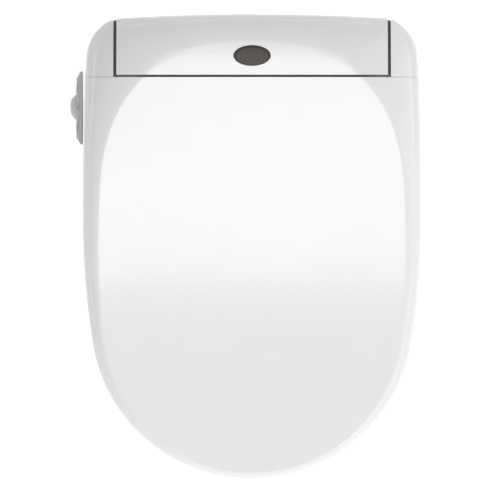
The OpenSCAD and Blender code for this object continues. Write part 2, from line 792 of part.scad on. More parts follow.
module rear_nozzle_tip() { color("lightgrey") on_nozzle(-1) nozzle_tip([-1.5]); }
module front_nozzle_tip() { color("lightgrey") on_nozzle(1) nozzle_tip([-1.5]); }
module rear_pinion() { color("gold") on_nozzle(-1) pinion(); }
module front_pinion() { color("gold") on_nozzle(1) pinion(); }
module rear_stepper() { color("silver") on_nozzle(-1) stepper(); }
module front_stepper() { color("silver") on_nozzle(1) stepper(); }

// ---- Dryer ----

scroll_z = floor_top + 0.2;

module dryer_scroll() {
    color("dimgrey") translate([dryer_x, dryer_y, scroll_z]) {
        difference() {
            union() {
                cylinder(r = 33, h = 30);
                block([-33, -37, 0], [-7, 0, 30]);
            }
            translate([0, 0, 2]) cylinder(r = 31, h = 26);
            block([-31, -40, 2], [-9, 0, 28]);
            translate([0, 0, 20]) cylinder(r = 12, h = 20);
        }
    }
}

module dryer_fan() {
    color("black") translate([dryer_x, dryer_y, scroll_z + 4]) {
        difference() {
            union() {
                cylinder(r = 25, h = 2);
                cylinder(r = 5, h = 20);
                for (i = [0:17]) rotate([0, 0, i * 20]) translate([19, 0, 1.5]) rotate([0, 0, 35])
                    block([0, -0.5, 0], [5.5, 0.5, 18]);
            }
            translate([0, 0, -1]) cylinder(r = 1.55, h = 30);
        }
        cylinder(r = 1.5, h = 24);
        translate([0, 0, 5]) cylinder(r = 1.8, h = 3);
    }
}

module dryer_motor() {
    color("silver") translate([dryer_x, dryer_y, scroll_z + 30.2]) difference() {
        union() {
            cylinder(r = 14, h = 20);
            cylinder(r = 17, h = 2);
        }
        translate([0, 0, -1]) cylinder(r = 1.9, h = 6);
    }
}

// Duct from the scroll's mouth to the flap's opening in the front wall
module dryer_duct() {
    color("dimgrey") difference() {
        block([dryer_x - 33, deck_front_y + wall + 0.3, 13], [dryer_x - 7, dryer_y - 37.4, 41]);
        block([dryer_x - 31, deck_front_y, 15], [dryer_x - 9, dryer_y - 30, 39]);
    }
}

module dryer_heater() {
    color("orange") for (i = [0:5])
        block([dryer_x - 30.5, -84 + i * 5, 17], [dryer_x - 9.5, -83 + i * 5, 37]);
    color("ivory") for (x = [dryer_x - 27, dryer_x - 13]) block([x - 1, -84.5, 15.2], [x + 1, -57.5, 18]);
}

// Flap over the dryer's outlet, hinged along its top edge on two short pins
module dryer_flap() {
    half = flap_w / 2 - 0.2;
    color("whitesmoke") {
        block([dryer_x - half, deck_front_y, flap_top - flap_h],
            [dryer_x + half, deck_front_y + 2, flap_top - 2]);
        x_rod(1.5, dryer_x - half, dryer_x + half, deck_front_y + 1.6, flap_top - 1.5);
    }
}

// ---- Deodoriser and electrics ----

module deodoriser_filter() {
    color("whitesmoke") difference() {
        block([cover_half - 7.5, filter_y0, filter_z0], [shoulder_x - 0.3, filter_y1, filter_z1]);
        block([cover_half - 4, filter_y0 + 2, filter_z0 + 2],
            [shoulder_x - 6, filter_y1 - 2, filter_z1 + 5]);
        block([shoulder_x - 2, filter_y0 + 9, filter_z0 + 4],
            [shoulder_x + 5, filter_y1 - 9, filter_z0 + 8]);
    }
    color("black") for (i = [0:3]) block([cover_half - 2 + i * 6, filter_y0 + 2, filter_z0 + 2],
        [cover_half + 1 + i * 6, filter_y1 - 2, filter_z1 - 2]);
}

module main_board() {
    color("darkgreen") block([-98, -12, 68], [-26, 34, 69.6]);
    color("black") {
        block([-94, 12, 69.6], [-78, 26, 84]);
        block([-72, -6, 69.6], [-56, 10, 72]);
        block([-50, 16, 69.6], [-30, 26, 78]);
    }
    color("silver") for (x = [-92, -80, -46, -34]) translate([x, -4, 69.6]) cylinder(r = 4, h = 12);
    color("ivory") for (x = [-94, -30]) translate([x, 30, floor_top + 0.2])
        cylinder(r = 2.5, h = 67.8 - floor_top);
}

module power_module() {
    color("ivory") block([-134, 4, floor_top + 0.2], [-106, 44, 40]);
    color("silver") for (y = [12, 24, 36]) translate([-120, y, 40]) cylinder(r = 3, h = 3);
}

// Gland that the mains lead would come in by
module power_gland() {
    color("dimgrey") difference() {
        union() {
            y_rod(9, 52.2, 54.2, -inlet_x, service_z);
            y_rod(5.9, 54.2, 57.4, -inlet_x, service_z);
        }
        y_rod(4, 50, 65, -inlet_x, service_z);
    }
}

// ---- Side panel ----

pod_inner_x = -190;
pod_face_x = -196.9;
knob_z = 34;
pod_low = 10.5;
pod_high = 57;
BUTTONS = [[-21.5, 42], [-21.5, 26], [-65.5, 42], [-65.5, 26]];

module pod_plan(inset) {
    polygon([[pod_inner_x, -2.7 - inset], [pod_inner_x, -85.5 + inset], [pod_inner_x - 3, -84.5 + inset],
        [pod_face_x + 1.4, -79 + inset], [pod_face_x + 1.4, -10 - inset], [pod_inner_x - 3, -4 - inset]]);
}

module panel_pod() {
    color("lightgrey") difference() {
        union() {
            translate([0, 0, pod_low]) linear_extrude(pod_high - pod_low) pod_plan(0);
            block([pod_inner_x - 4, -76, floor_low], [pod_inner_x + 2, -18, pod_low + 1]);
        }
        block([pod_face_x, -77, pod_low + 3], [pod_inner_x - 1.6, -12, pod_high - 3]);
    }
}

module panel_fascia() {
    color("silver") difference() {
        block([pod_face_x, -79, pod_low + 1], [pod_face_x + 1.3, -10, pod_high - 1]);
        x_rod(2.6, -200, -190, knob_y, knob_z);
        for (b = BUTTONS) x_rod(5.8, -200, -190, b[0], b[1]);
    }
}

module panel_board() {
    color("darkgreen") difference() {
        block([-193.4, -76, pod_low + 4], [-191.8, -13, pod_high - 4]);
        x_rod(2.8, -200, -190, knob_y, knob_z);
    }
}

knob_h = 6.9;
knob_skirt_r = 14;

module knob() {
    color("lightgrey") {
        difference() {
            union() {
                x_rod(knob_skirt_r, pod_face_x - 1.9, pod_face_x - 0.3, knob_y, knob_z);
                translate([pod_face_x - 1.9, knob_y, knob_z]) rotate([0, -90, 0]) {
                    cylinder(r1 = knob_skirt_r - 0.2, r2 = knob_r + 0.4, h = 1.4);
                    cylinder(r = knob_r, h = 3.2);
                    translate([0, 0, 3.2]) cylinder(r1 = knob_r, r2 = knob_r / 2, h = knob_h - 5.1);
                }
            }
            block([pod_face_x - knob_h - 1, knob_y - 0.6, knob_z + 3],
                [pod_face_x - knob_h + 1, knob_y + 0.6, knob_z + knob_r - 1]);
        }
        x_rod(2.5, pod_face_x - 0.4, -192.2, knob_y, knob_z);
    }
}

module panel_button(b) {
    color("whitesmoke") {
        x_rod(5.5, pod_face_x - 0.4, pod_face_x + 1.5, b[0], b[1]);
        x_rod(2, pod_face_x + 1.5, pod_face_x + 2.3, b[0], b[1]);
    }
}

module stop_button() { panel_button(BUTTONS[0]); }
module rear_wash_button() { panel_button(BUTTONS[1]); }
module front_wash_button() { panel_button(BUTTONS[2]); }
module dry_button() { panel_button(BUTTONS[3]); }

// ---- Mounting ----

slider_l = 34;
slot_l = 50;

module mounting_plate() {
    color("lightgrey") difference() {
        union() {
            block([-plate_w / 2 + 5.4, plate_front_y, 0], [plate_w / 2 - 5.4, plate_rear_y, plate_t]);
            block([-plate_w / 2, plate_front_y, 3], [plate_w / 2, plate_rear_y, plate_t]);
        }
        both_sides() {
            block([bolt_spacing / 2 - 13.2, -slot_l / 2, -1], [bolt_spacing / 2 + 13.2, slot_l / 2, 4]);
            block([bolt_spacing / 2 - 9.2, -slot_l / 2, 3], [bolt_spacing / 2 + 9.2, slot_l / 2, 10]);
        }
        block([-45, -20, 3], [45, 20, 10]);
    }
}

module bolt_slider() {
    difference() {
        union() {
            block([bolt_spacing / 2 - 13, -slider_l / 2, 0.2], [bolt_spacing / 2 + 13, slider_l / 2, 3.8]);
            block([bolt_spacing / 2 - 9, -slider_l / 2, 3],
                [bolt_spacing / 2 + 9, slider_l / 2, plate_t - 0.2]);
        }
        translate([bolt_spacing / 2, 0, -1]) cylinder(r = bolt_hole_r, h = 12);
    }
}

module bolt_slider_left() { color("dimgrey") mirror([1, 0, 0]) bolt_slider(); }
module bolt_slider_right() { color("dimgrey") bolt_slider(); }

module release_button() {
    color("lightgrey") {
        x_rod(7, -185, -178, release_y, release_z);
        x_rod(3, -178, -172, release_y, release_z);
    }
}

lid_shell();
lid_ear_left();
lid_ear_right();
lid_bumpers();
lid_bushes();
seat_top_shell();
seat_bottom_shell();
seat_heater_foil();
seat_thermostat();
occupancy_sensor();
seat_bumpers();
seat_bushes();
base_tray();
rear_cover();
front_deck();
ir_window();
indicator_board();
base_pads();
housing_screws();
hinge_pins();
seat_damper();
lid_damper();
inlet_fitting();
inlet_strainer();
solenoid_valve();
water_heater();
water_pump();
diverter_valve();
water_hoses();
nozzle_cradle();
rear_nozzle();
front_nozzle();
rear_nozzle_tip();
front_nozzle_tip();
rear_pinion();
front_pinion();
rear_stepper();
front_stepper();
dryer_scroll();
dryer_fan();
dryer_motor();
dryer_duct();
dryer_heater();
dryer_flap();
deodoriser_filter();
main_board();
power_module();
power_gland();
panel_pod();
panel_fascia();
panel_board();
knob();
stop_button();
rear_wash_button();
front_wash_button();
dry_button();
mounting_plate();
bolt_slider_left();
bolt_slider_right();
release_button();
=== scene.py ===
"""Electric bidet seat. Metres, in the CAD's frame: origin between the bowl bolts, +Y back, +Z up.

The moulded shells are remade here as smooth surfaces from the same tangent arcs as the CAD part.
Every other CAD node keeps its mesh and gets a fine bevel and a material.
"""
import json
import math

import bmesh
import bpy
from mathutils import Matrix, Vector


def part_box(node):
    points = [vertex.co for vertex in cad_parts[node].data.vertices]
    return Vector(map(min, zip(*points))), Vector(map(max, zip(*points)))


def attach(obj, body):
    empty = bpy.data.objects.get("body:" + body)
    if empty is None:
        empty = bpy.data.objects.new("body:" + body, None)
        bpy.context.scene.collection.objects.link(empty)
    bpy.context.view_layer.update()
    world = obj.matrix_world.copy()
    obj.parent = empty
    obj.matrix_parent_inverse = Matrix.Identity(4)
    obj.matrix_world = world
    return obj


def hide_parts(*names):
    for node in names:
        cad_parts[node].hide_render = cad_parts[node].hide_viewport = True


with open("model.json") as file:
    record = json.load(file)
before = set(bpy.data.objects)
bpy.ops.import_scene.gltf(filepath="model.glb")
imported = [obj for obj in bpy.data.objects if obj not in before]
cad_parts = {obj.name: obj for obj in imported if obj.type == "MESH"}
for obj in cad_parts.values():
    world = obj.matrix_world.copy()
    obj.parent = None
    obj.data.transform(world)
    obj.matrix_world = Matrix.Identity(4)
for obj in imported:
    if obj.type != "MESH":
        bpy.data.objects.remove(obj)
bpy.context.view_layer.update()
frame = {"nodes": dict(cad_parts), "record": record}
nodes = frame["nodes"]
MM = 0.001

# ---------------------------------------------------------------- driving dimensions, in millimetres

REAR_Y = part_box("rear_cover")[1].y / MM
NOSE_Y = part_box("lid_shell")[0].y / MM
LENGTH = REAR_Y - NOSE_Y
COVER_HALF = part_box("rear_cover")[1].x / MM
COVER_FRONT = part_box("rear_cover")[0].y / MM
SEAM_Y = COVER_FRONT - 2.7
EAR_SEAM = 0.4
EAR_INNER_X = 155.0
TOP_Z = 121.6
SLOPE_REAR, SLOPE_NOSE = 4.0, 11.0
COVER_ARC = 150.0
HEM_NOSE, HEM_REAR = 36.0, 62.0
RIM_BAND, RIM_DROP = 7.0, 8.0
SHELL = 2.3
SPLIT_Z = 40.0
HINGE = Vector((0.0, 20.0, 80.0))
CHEEK_R, HORN_R = 44.0, 46.5
HINGE_BORE_R, EAR_BORE_R = 7.2, 6.6
EAR_BOSS_R, EAR_BOSS_IN_X, EAR_BOSS_OUT_X = 11.0, 171.0, 186.0
EAR_CLEAR_X = EAR_BOSS_IN_X - 0.5
ARM_BOSS_CLEAR_R = 13.0
RAY_Y = -190.0
WINDOW_Y, WINDOW_HALF_X, WINDOW_HALF_Y = 13.6, 20.6, 11.3
EGG_NOSE_Y = NOSE_Y + RIM_BAND + 0.2
SLIVER = 0.03 * MM
JOIN = 1e-6

# Outline and egg-shaped crease as tangent arcs: the heading where each arc ends, and its radius
OUT_TURN = [3.9, 81, 90, 91.6, 94.2, 148.3, 176.7, 180]
OUT_RADIUS = [198, 179.3, 881, None, 861, None, 26.9, 2600]
EGG_TURN = [60, 84.6, 93.6, 108.3, 171.5, 180]
EGG_RADIUS = [163.6, 195.3, 1058.3, 223.2, 136.8, 331.7]


def sin(a):
    return math.sin(math.radians(a))


def cos(a):
    return math.cos(math.radians(a))


def close_outline():
    """The flank's and the rear corner's radii, which close the loop at its length."""
    sx = [sin(t) - (sin(OUT_TURN[i - 1]) if i else 0) for i, t in enumerate(OUT_TURN)]
    sy = [(cos(OUT_TURN[i - 1]) if i else 1) - cos(t) for i, t in enumerate(OUT_TURN)]
    rest_x = -sum(r * s for r, s in zip(OUT_RADIUS, sx) if r)
    rest_y = LENGTH - sum(r * s for r, s in zip(OUT_RADIUS, sy) if r)
    det = sx[3] * sy[5] - sx[5] * sy[3]
    OUT_RADIUS[3] = (rest_x * sy[5] - sx[5] * rest_y) / det
    OUT_RADIUS[5] = (sx[3] * rest_y - rest_x * sy[3]) / det


close_outline()


def chain(radii, turns, start_y, heading, inset=0.0):
    x, y, a = 0.0, start_y, 0.0
    for r, t in zip(radii, turns):
        b = min(heading, t)
        x += r * (sin(b) - sin(a))
        y += r * (cos(a) - cos(b))
        if heading <= t:
            break
        a = t
    return Vector((x - inset * sin(heading), y + inset * cos(heading)))


def outline(heading, inset=0.0):
    return chain(OUT_RADIUS, OUT_TURN, NOSE_Y, heading, inset)


def egg(heading, inset=0.0):
    return chain(EGG_RADIUS, EGG_TURN, EGG_NOSE_Y, heading, inset)


def heading_on_ray(curve, angle):
    """The heading at which a curve meets the ray at that angle from the nose, about (0, RAY_Y)."""
    low, high = 0.0, 180.0
    for _ in range(40):
        middle = (low + high) / 2
        p = curve(middle)
        if math.degrees(math.atan2(p.x, RAY_Y - p.y)) < angle:
            low = middle
        else:
            high = middle
    return (low + high) / 2


CORNER_START, CORNER_END = 94.5, OUT_TURN[6]
STATION_STEP = 1.5


def stations():
    """Pairs of headings on the outline and the egg, close together round the tight corners."""
    def ray(h):
        p = outline(h)
        return math.degrees(math.atan2(p.x, RAY_Y - p.y))

    first, end = ray(CORNER_START), ray(CORNER_END)
    front = round(first / STATION_STEP)
    corner = round((CORNER_END - CORNER_START) / STATION_STEP)
    rear = round((180 - end) / STATION_STEP)
    angles = [i * first / front for i in range(front)]
    angles += [ray(CORNER_START + i * (CORNER_END - CORNER_START) / corner) for i in range(corner)]
    angles += [end + i * (180 - end) / rear for i in range(rear + 1)]
    pairs = []
    for a in angles:
        if a < 1e-9 or a > 180 - 1e-9:
            pairs.append((round(a), round(a)))
        else:
            pairs.append((heading_on_ray(outline, a), heading_on_ray(egg, a)))
    return pairs


PAIRS = stations()
LID_ARC = (SEAM_Y - NOSE_Y) / (sin(SLOPE_NOSE) - sin(SLOPE_REAR))


def crown_z(y):
    if y < SEAM_Y:
        s = sin(SLOPE_REAR) + (SEAM_Y - y) / LID_ARC
        return TOP_Z - LID_ARC * (cos(SLOPE_REAR) - math.sqrt(1 - s * s))
    s = sin(SLOPE_REAR) - (y - SEAM_Y) / COVER_ARC
    return TOP_Z + COVER_ARC * (math.sqrt(1 - s * s) - cos(SLOPE_REAR))


def hem_z(y):
    return HEM_NOSE + (HEM_REAR - HEM_NOSE) * (y - NOSE_Y) / LENGTH


# ---------------------------------------------------------------- mesh helpers

def new_object(name, bm, smooth=True):
    mesh = bpy.data.meshes.new(name)
    bm.to_mesh(mesh)
    bm.free()
    for p in mesh.polygons:
        p.use_smooth = smooth
    piece = bpy.data.objects.new(name, mesh)
    bpy.context.scene.collection.objects.link(piece)
    return piece


def grid_faces(bm, columns):
    """Verts and quads from equal columns of points, joined side by side round a ring."""
    verts = [[bm.verts.new(Vector(p) * MM) for p in column] for column in columns]
    for j, a in enumerate(verts):
        b = verts[(j + 1) % len(verts)]
        for k in range(len(a) - 1):
            bm.faces.new((a[k], a[k + 1], b[k + 1], b[k]))
    return verts


def sew(bm, loops):
    """Side faces between each loop of verts and the next."""
    for a, b in zip(loops, loops[1:]):
        for j in range(len(a)):
            k = (j + 1) % len(a)
            bm.faces.new((a[j], a[k], b[k], b[j]))


def mirrored(half):
    return half + [[Vector((-p[0], p[1], p[2])) for p in column] for column in half[-2:0:-1]]


def strips(bm, ring, upward=True):
    """Flat strips between the mirrored points of a ring of verts."""
    n = len(ring)
    half = n // 2
    for j in range(half):
        a, b, c, d = ring[j], ring[j + 1], ring[n - j - 1], ring[(n - j) % n]
        corners = [v for i, v in enumerate((a, b, c, d)) if v not in (a, b, c, d)[:i]]
        if len(corners) > 2:
            bm.faces.new(corners if upward else corners[::-1])


def apply_modifiers(piece):
    deps = bpy.context.evaluated_depsgraph_get()
    mesh = bpy.data.meshes.new_from_object(piece.evaluated_get(deps))
    piece.modifiers.clear()
    piece.data = mesh
    return piece


def cut(piece, *cutters, operation="DIFFERENCE"):
    """Boolean with throwaway solids."""
    for c in cutters:
        m = piece.modifiers.new("cut", "BOOLEAN")
        m.operation, m.solver, m.object = operation, "EXACT", c
    apply_modifiers(piece)
    for c in cutters:
        bpy.data.objects.remove(c)
    return piece


def block(low, high):
    bm = bmesh.new()
    bmesh.ops.create_cube(bm, size=1)
    low, high = Vector(low) * MM, Vector(high) * MM
    for v in bm.verts:
        v.co = Vector([low[i] if v.co[i] < 0 else high[i] for i in range(3)])
    return new_object("cutter", bm, False)


def rod_x(radius, x0, x1, y, z, sides=160):
    bm = bmesh.new()
    bmesh.ops.create_cone(bm, cap_ends=True, segments=sides, radius1=radius * MM, radius2=radius * MM,
                          depth=(x1 - x0) * MM)
    turn = Matrix.Translation(Vector(((x0 + x1) / 2, y, z)) * MM) @ Matrix.Rotation(math.pi / 2, 4, "Y")
    bmesh.ops.transform(bm, matrix=turn, verts=bm.verts)
    return new_object("cutter", bm, False)


def bevel(piece, width, segments, angle):
    """Rounds the edges over the angle, then welds the slivers that this leaves."""
    m = piece.modifiers.new("edge", "BEVEL")
    m.width, m.segments, m.limit_method, m.angle_limit = width * MM, segments, "ANGLE", math.radians(angle)
    m.harden_normals = True
    m.miter_outer = "MITER_ARC"
    weld = piece.modifiers.new("weld", "WELD")
    weld.merge_threshold = SLIVER / 2


def shade_by_angle(piece, degrees):
    """Smooth shading, with slivers removed and the edges over the angle kept sharp."""
    bm = bmesh.new()
    bm.from_mesh(piece.data)
    bmesh.ops.remove_doubles(bm, verts=bm.verts, dist=SLIVER)
    bmesh.ops.dissolve_degenerate(bm, edges=bm.edges, dist=SLIVER)
    limit = math.radians(degrees)
    for f in bm.faces:
        f.smooth = True
    for e in bm.edges:
        e.smooth = len(e.link_faces) == 2 and e.calc_face_angle(0) < limit
    bm.to_mesh(piece.data)
    bm.free()


# ---------------------------------------------------------------- the dome: crown, shoulder, rim band, skirt

def band(start, end, first, last, steps):
    """Points from start to end whose slope turns from one angle to the other."""
    (p0, z0), (p1, z1) = start, end
    points = []
    for i in range(steps + 1):
        a = first + (last - first) * i / steps
        h = (sin(a) - sin(first)) / (sin(last) - sin(first))
        v = (cos(first) - cos(a)) / (cos(first) - cos(last))
        p = p0.lerp(p1, h)
        points.append(Vector((p.x, p.y, z0 + (z1 - z0) * v)))
    return points


SHOULDER_LEAST, SHOULDER_FALL = 0.4, 0.45
CREASE_SOFT = 1.2
SHOULDER_TURN, RIM_TURN = (15, 65), (28, 90)
SHOULDER_STEPS, RIM_STEPS = 10, 9
SKIRT_ROWS = (0.15, 0.5, 0.85, 1.0)


def dome_column(pair, inset, low):
    """One column of points from the crease on the crown, over shoulder and rim band, to the hem."""
    on_outline, on_egg = pair
    o, b, e = outline(on_outline, inset), outline(on_outline, RIM_BAND + inset), egg(on_egg, inset)
    n = (o - b).normalized()
    if (b - e).dot(n) < SHOULDER_LEAST:
        e = b - SHOULDER_LEAST * n
    w = (b - e).length
    z0 = crown_z(e.y) - inset
    z1 = z0 - SHOULDER_FALL * w
    inner = e - min(CREASE_SOFT, 0.4 * w) * (o - e).normalized()
    shoulder = band((e, z0), (b, z1), *SHOULDER_TURN, SHOULDER_STEPS)
    shoulder[0] = shoulder[0].lerp(shoulder[1], 0.25)
    rim = band((b, z1), (o, z1 - RIM_DROP), *RIM_TURN, RIM_STEPS)
    rim[0] = rim[0].lerp(rim[1], 0.3)
    floor_z = low if low is not None else hem_z(o.y)
    top = rim[-1].z
    skirt = [Vector((o.x, o.y, top + (floor_z - top) * t)) for t in SKIRT_ROWS]
    start = Vector((inner.x, inner.y, crown_z(inner.y) - inset))
    return [start] + shoulder + rim + skirt


def dome(name, inset=0.0, low=None, capped=False):
    bm = bmesh.new()
    ring = grid_faces(bm, mirrored([dome_column(p, inset, low) for p in PAIRS]))
    strips(bm, [column[0] for column in ring])
    if capped:
        strips(bm, [column[-1] for column in ring], upward=False)
    bmesh.ops.remove_doubles(bm, verts=bm.verts, dist=JOIN)
    bmesh.ops.recalc_face_normals(bm, faces=bm.faces)
    return new_object(name, bm)


def trim(piece, at, normal, fill=False):
    """Removes what lies on the normal's side of a plane, and caps the cut of a closed mesh."""
    bm = bmesh.new()
    bm.from_mesh(piece.data)
    made = bmesh.ops.bisect_plane(bm, geom=bm.verts[:] + bm.edges[:] + bm.faces[:], dist=1e-7,
                                  plane_co=Vector(at) * MM, plane_no=normal, clear_outer=True)
    if fill:
        edges = [g for g in made["geom_cut"] if isinstance(g, bmesh.types.BMEdge)]
        bmesh.ops.contextual_create(bm, geom=edges)
    bm.to_mesh(piece.data)
    bm.free()
    return piece


def mirrored_copy(piece, name):
    bm = bmesh.new()
    bm.from_mesh(piece.data)
    bmesh.ops.scale(bm, vec=(-1, 1, 1), verts=bm.verts)
    bmesh.ops.reverse_faces(bm, faces=bm.faces)
    return new_object(name, bm)


def make_lid():
    lid = trim(dome("lid_skin"), (0, SEAM_Y, 0), (0, 1, 0))
    thick = lid.modifiers.new("wall", "SOLIDIFY")
    thick.thickness, thick.offset, thick.use_even_offset = SHELL * MM, -1, True
    apply_modifiers(lid)
    shade_by_angle(lid, 42)
    bevel(lid, 0.6, 3, 50)
    return lid


def make_ear():
    """Rear corner of the lid: hollow, with its hinge boss inside and room for the boss of the seat's arm."""
    ear = dome("lid_ear_right_skin", 0, 20, capped=True)
    inner = dome("cutter", 3.2, 10, capped=True)
    for piece, grow in ((ear, 0.0), (inner, 2.2)):
        trim(piece, (EAR_INNER_X + grow, 0, 0), (-1, 0, 0), True)
        trim(piece, (0, SEAM_Y + EAR_SEAM - grow, 0), (0, -1, 0), True)
    boss = rod_x(EAR_BOSS_R, EAR_BOSS_IN_X, EAR_BOSS_OUT_X, HINGE.y, HINGE.z, 64)
    cut(inner, boss)
    below = cut(block((EAR_CLEAR_X, -60, -10), (200, 90, HINGE.z)),
                rod_x(CHEEK_R, 160, 210, HINGE.y, HINGE.z))
    inboard = block((150, -60, -10), (EAR_CLEAR_X, 90, HINGE.z - 16))
    notch = block((EAR_INNER_X + 3, -60, -10), (EAR_CLEAR_X, 90, HINGE.z - 7.8))
    bore = rod_x(EAR_BORE_R, 150, 181, HINGE.y, HINGE.z, 64)
    swing = rod_x(ARM_BOSS_CLEAR_R, 150, EAR_CLEAR_X, HINGE.y, HINGE.z, 64)
    cut(ear, inner, below, inboard, notch, bore, swing)
    shade_by_angle(ear, 38)
    bevel(ear, 0.5, 3, 50)
    return ear


WINDOW_TILT = math.asin(sin(SLOPE_REAR) - (WINDOW_Y - SEAM_Y) / COVER_ARC)
WINDOW_AT = Vector((0, WINDOW_Y, crown_z(WINDOW_Y))) * MM
WINDOW_PLACE = Matrix.Translation(WINDOW_AT) @ Matrix.Rotation(WINDOW_TILT, 4, "X")
WINDOW_SIDES = 72


def oval_rings(name, rings):
    """Closed oval solid in the window's frame, from (grow, height) pairs in millimetres."""
    turns = [i * 360 / WINDOW_SIDES for i in range(WINDOW_SIDES)]
    bm = bmesh.new()
    loops = []
    for grow, height in rings:
        plan = [((WINDOW_HALF_X + grow) * cos(a), (WINDOW_HALF_Y + grow) * sin(a)) for a in turns]
        loops.append([bm.verts.new(WINDOW_PLACE @ (Vector((x, y, height)) * MM)) for x, y in plan])
    sew(bm, loops)
    bm.faces.new(loops[0][::-1])
    bm.faces.new(loops[-1])
    bmesh.ops.recalc_face_normals(bm, faces=bm.faces)
    return new_object(name, bm)


def hinge_hole(side):
    return rod_x(HINGE_BORE_R, *sorted((side * 140, side * 160)), HINGE.y, HINGE.z, 64)


def make_cover():
    cover = dome("rear_cover_skin", 0, SPLIT_Z, capped=True)
    for side in (-1, 1):
        trim(cover, (side * COVER_HALF, 0, 0), (side, 0, 0), True)
    trim(cover, (0, COVER_FRONT, 0), (0, -1, 0), True)
    cut(cover, oval_rings("cutter", [(0.35, -1.6), (0.35, 6)]))
    for side in (-1, 1):
        cut(cover, hinge_hole(side))
    cut(cover, groove_tool())
    shade_by_angle(cover, 38)
    bevel(cover, 0.5, 3, 55)
    return cover


GROOVE_R, GROOVE_SIDES, GROOVE_FROM_Y = 0.8, 8, 30.0


def groove_tool():
    """Thin bar along the crease of the cover's rim band, which leaves a fine groove there."""
    path = []
    for pair in PAIRS:
        if outline(pair[0]).y > GROOVE_FROM_Y:
            flat = outline(pair[0], RIM_BAND)
            path.append(min(dome_column(pair, 0, SPLIT_Z), key=lambda v: (v.xy - flat).length))
    path += [Vector((-v.x, v.y, v.z)) for v in reversed(path) if v.x > JOIN]
    bm = bmesh.new()
    loops = []
    for i, at in enumerate(path):
        along = (path[min(i + 1, len(path) - 1)] - path[max(i - 1, 0)]).normalized()
        side = along.cross(Vector((0, 0, 1))).normalized()
        up = side.cross(along)
        turns = [360 * k / GROOVE_SIDES for k in range(GROOVE_SIDES)]
        loops.append([bm.verts.new((at + GROOVE_R * (side * cos(a) + up * sin(a))) * MM) for a in turns])
    sew(bm, loops)
    bm.faces.new(loops[0])
    bm.faces.new(loops[-1])
    bmesh.ops.recalc_face_normals(bm, faces=bm.faces)
    return new_object("cutter", bm)


def make_gap_shade_strip(side):
    """Dark strip a little below the surface that closes the gap between the rear cover and an ear: painted
    shade, so the gap looks shadowed.
    """
    shade_strip = dome("gap_shade_strip_right" if side > 0 else "gap_shade_strip_left", 1.6, SPLIT_Z, capped=True)
    trim(shade_strip, (side * (COVER_HALF + 0.1), 0, 0), (-side, 0, 0), True)
    trim(shade_strip, (side * (EAR_INNER_X - 0.3), 0, 0), (side, 0, 0), True)
    trim(shade_strip, (0, COVER_FRONT + 0.4, 0), (0, -1, 0), True)
    cut(shade_strip, hinge_hole(side))
    shade_by_angle(shade_strip, 38)
    return shade_strip


# ---------------------------------------------------------------- seat

OPENING_A, OPENING_B, OPENING_Y = 105.0, 145.0, -265.0
SEAT_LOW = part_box("seat_top_shell")[0].z / MM
SEAT_GAP = 2.0
SEAT_WALL, SEAT_REBATE = 3.3, 4.6
ARM_X, ARM_SLOT_HALF = 163.5, 5.2


def smooth_line(points, steps):
    """Catmull-Rom curve through 2-D points."""
    out = []
    for i in range(len(points) - 1):
        a, b, c, d = (Vector(points[min(max(k, 0), len(points) - 1)]) for k in (i - 1, i, i + 1, i + 2))
        for s in range(steps):
            t = s / steps
            out.append(0.5 * (2 * b + t * (c - a) + t * t * (2 * a - 5 * b + 4 * c - d)
                              + t ** 3 * (3 * b - 3 * c + d - a)))
    return out + [Vector(points[-1])]


def seat_column(pair):
    """Section of the seat ring, from its outer foot over the crown to the opening and back underneath."""
    heading = pair[0]
    o = outline(heading, SEAT_GAP)
    angle = math.degrees(math.atan2(o.x, RAY_Y - o.y))
    i = Vector((OPENING_A * sin(angle), OPENING_Y - OPENING_B * cos(angle)))
    w = (o - i).length
    across = (i - o) / w
    outer_z, inner_z = hem_z(o.y) - SEAT_GAP, hem_z(i.y) - SEAT_GAP
    line = smooth_line([(0, -8), (0.15, -3.2), (1.6, -0.9), (5, 0.2), (13, 2.2), (24, 3.0), (0.55 * w, 1.6),
                        (w - 22, -2.2), (w - 12, -5.6), (w - 5, -10), (w - 1.2, -15), (w, -20)], 5)
    points = [Vector((o.x, o.y, SEAT_LOW))]
    for d, h in line:
        p = o + across * d
        points.append(Vector((p.x, p.y, outer_z + (inner_z - outer_z) * d / w + h)))
    points.append(Vector((i.x, i.y, SEAT_LOW)))
    far_wall = w - SEAT_WALL
    for d, h in ((far_wall, 0), (far_wall, SEAT_REBATE), (SEAT_WALL, SEAT_REBATE), (SEAT_WALL, 0)):
        p = o + across * d
        points.append(Vector((p.x, p.y, SEAT_LOW + h)))
    return points


def make_seat():
    bm = bmesh.new()
    spaced = PAIRS[::2] if len(PAIRS) % 2 else PAIRS[::2] + [PAIRS[-1]]
    ring = grid_faces(bm, mirrored([seat_column(p) for p in spaced]))
    for j, column in enumerate(ring):
        following = ring[(j + 1) % len(ring)]
        bm.faces.new((column[-1], column[0], following[0], following[-1]))
    bmesh.ops.recalc_face_normals(bm, faces=bm.faces)
    seat = new_object("seat_skin", bm)
    behind = block((-154.5, -97, -5), (154.5, 120, 200))
    horns = block((-220, -20, -6), (220, 130, 201))
    swing = rod_x(HORN_R, -230, 230, HINGE.y, HINGE.z)
    under = block((-100, -125, -7), (100, -90, 31))
    slots = [block((s * ARM_X - ARM_SLOT_HALF, -40, 33), (s * ARM_X + ARM_SLOT_HALF, 3, 54.2))
             for s in (-1, 1)]
    cut(seat, behind, horns, swing, under, *slots)
    shade_by_angle(seat, 38)
    bevel(seat, 0.5, 2, 50)
    return seat


# ---------------------------------------------------------------- front deck, window, side panel

DECK_WALL, DECK_SPRING_Z, DECK_STEPS = 3.0, 60.0, 40


